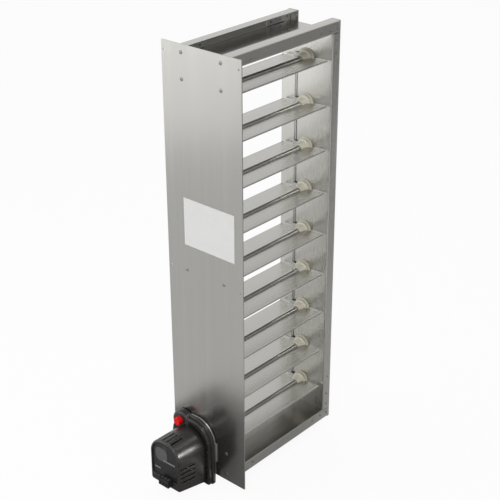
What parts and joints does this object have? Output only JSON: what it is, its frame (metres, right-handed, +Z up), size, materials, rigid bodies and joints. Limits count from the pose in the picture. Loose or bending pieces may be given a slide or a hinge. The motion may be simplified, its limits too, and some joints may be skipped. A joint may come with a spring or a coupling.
{
  "type": "motorized duct damper",
  "caption": "Rectangular aluminium duct damper with parallel blades on a link rod, opened and closed by a spring return actuator on its mounting plate.",
  "frame": {"origin": "centre of the mounting plate on its duct side face, at mid height and mid depth of the frame", "axes": "+X across the duct from the mounting plate, Y along the air stream, +Z up the frame"},
  "size_m": [0.428, 0.198, 0.9467],
  "materials": {
    "plate_metal": "brushed",
    "channel_metal": "mill finish",
    "blade_metal": "extruded mill finish",
    "steel": "zinc plated",
    "spring_steel": "oiled",
    "label": "printed film, bare",
    "nylon": "moulded",
    "black_plastic": "moulded, fine grain",
    "panel_plastic": "smooth",
    "red_plastic": "polished",
    "motor_can": "drawn",
    "board": "solder mask"
  },
  "bodies": {
    "frame": {"mounting_plate": "plate_metal", "left_jamb": "channel_metal", "right_jamb": "channel_metal", "top_channel": "channel_metal", "bottom_channel": "channel_metal", "corner_gussets": "steel", "frame_rivets": "steel", "plate_rivets": "steel", "plate_label": "label", "left_bushes": "nylon", "right_bushes": "nylon", "actuator_bracket": "steel", "actuator_base": "black_plastic", "actuator_housing": "black_plastic", "front_panel": "panel_plastic", "button_spring": "spring_steel", "motor": "motor_can", "return_spring": "spring_steel", "circuit_board": "board", "terminal_block": "black_plastic", "terminal_screws": "steel", "base_screws": "steel", "housing_screws": "steel"},
    "blade_assembly_1": {"blade_1": "blade_metal", "bearing_caps_1": "nylon", "crank_1": "steel"},
    "blade_assembly_2": {"blade_2": "blade_metal", "bearing_caps_2": "nylon", "crank_2": "steel"},
    "blade_assembly_3": {"blade_3": "blade_metal", "bearing_caps_3": "nylon", "crank_3": "steel"},
    "blade_assembly_4": {"blade_4": "blade_metal", "bearing_caps_4": "nylon", "crank_4": "steel"},
    "blade_assembly_5": {"blade_5": "blade_metal", "bearing_caps_5": "nylon", "crank_5": "steel"},
    "blade_assembly_6": {"blade_6": "blade_metal", "bearing_caps_6": "nylon", "crank_6": "steel"},
    "blade_assembly_7": {"blade_7": "blade_metal", "bearing_caps_7": "nylon", "crank_7": "steel"},
    "blade_assembly_8": {"blade_8": "blade_metal", "bearing_caps_8": "nylon", "crank_8": "steel"},
    "driven_blade": {"blade_9": "blade_metal", "bearing_caps_9": "nylon", "crank_9": "steel", "drive_shaft": "steel", "output_gear": "steel"},
    "linkage": {"link_rod": "steel"},
    "second_gear": {"reduction_gear": "nylon"},
    "first_gear": {"idler_gear": "nylon"},
    "motor_shaft": {"motor_pinion": "steel"},
    "button": {"release_button": "red_plastic"}
  },
  "joints": [
    {"name": "drive", "type": "hinge", "parent": "frame", "child": "driven_blade", "pos_m": [0, 0, -0.3752], "axis": [-1, 0, 0], "range_deg": [0, 81.5], "stiffness_Nm_per_rad": 0.1, "springref_deg": -57.3},
    {"name": "blade_1_turn", "type": "hinge", "parent": "frame", "child": "blade_assembly_1", "pos_m": [0, 0, 0.3752], "axis": [-1, 0, 0], "range_deg": [0, 81.5]},
    {"name": "blade_2_turn", "type": "hinge", "parent": "frame", "child": "blade_assembly_2", "pos_m": [0, 0, 0.2814], "axis": [-1, 0, 0], "range_deg": [0, 81.5]},
    {"name": "blade_3_turn", "type": "hinge", "parent": "frame", "child": "blade_assembly_3", "pos_m": [0, 0, 0.1876], "axis": [-1, 0, 0], "range_deg": [0, 81.5]},
    {"name": "blade_4_turn", "type": "hinge", "parent": "frame", "child": "blade_assembly_4", "pos_m": [0, 0, 0.0938], "axis": [-1, 0, 0], "range_deg": [0, 81.5]},
    {"name": "blade_5_turn", "type": "hinge", "parent": "frame", "child": "blade_assembly_5", "pos_m": [0, 0, 0], "axis": [-1, 0, 0], "range_deg": [0, 81.5]},
    {"name": "blade_6_turn", "type": "hinge", "parent": "frame", "child": "blade_assembly_6", "pos_m": [0, 0, -0.0938], "axis": [-1, 0, 0], "range_deg": [0, 81.5]},
    {"name": "blade_7_turn", "type": "hinge", "parent": "frame", "child": "blade_assembly_7", "pos_m": [0, 0, -0.1876], "axis": [-1, 0, 0], "range_deg": [0, 81.5]},
    {"name": "blade_8_turn", "type": "hinge", "parent": "frame", "child": "blade_assembly_8", "pos_m": [0, 0, -0.2814], "axis": [-1, 0, 0], "range_deg": [0, 81.5]},
    {"name": "rod_swing", "type": "hinge", "parent": "driven_blade", "child": "linkage", "pos_m": [0.29, 0.02625, -0.37295], "axis": [-1, 0, 0], "range_deg": [-81.5, 0]},
    {"name": "second_gear_turn", "type": "hinge", "parent": "frame", "child": "second_gear", "pos_m": [0, 0.01202, -0.38722], "axis": [-1, 0, 0], "range_deg": [-195.6, 0]},
    {"name": "first_gear_turn", "type": "hinge", "parent": "frame", "child": "first_gear", "pos_m": [0, 0.02828, -0.40348], "axis": [-1, 0, 0], "range_deg": [0, 704.16]},
    {"name": "motor_turn", "type": "hinge", "parent": "frame", "child": "motor_shaft", "pos_m": [0, 0.04455, -0.41975], "axis": [-1, 0, 0], "range_deg": [-2534.98, 0]},
    {"name": "button_press", "type": "slide", "parent": "frame", "child": "button", "axis": [1, 0, 0], "range_m": [0, 0.003], "stiffness_N_per_m": 400, "springref_m": -0.002, "deforming": ["button_spring"]}
  ],
  "couplings": [
    {"joint": "blade_1_turn", "follows": "drive", "ratio": 1},
    {"joint": "blade_2_turn", "follows": "drive", "ratio": 1},
    {"joint": "blade_3_turn", "follows": "drive", "ratio": 1},
    {"joint": "blade_4_turn", "follows": "drive", "ratio": 1},
    {"joint": "blade_5_turn", "follows": "drive", "ratio": 1},
    {"joint": "blade_6_turn", "follows": "drive", "ratio": 1},
    {"joint": "blade_7_turn", "follows": "drive", "ratio": 1},
    {"joint": "blade_8_turn", "follows": "drive", "ratio": 1},
    {"joint": "rod_swing", "follows": "drive", "ratio": -1},
    {"joint": "second_gear_turn", "follows": "drive", "ratio": -2.4},
    {"joint": "first_gear_turn", "follows": "drive", "ratio": 8.64},
    {"joint": "motor_turn", "follows": "drive", "ratio": -31.104}
  ]
}
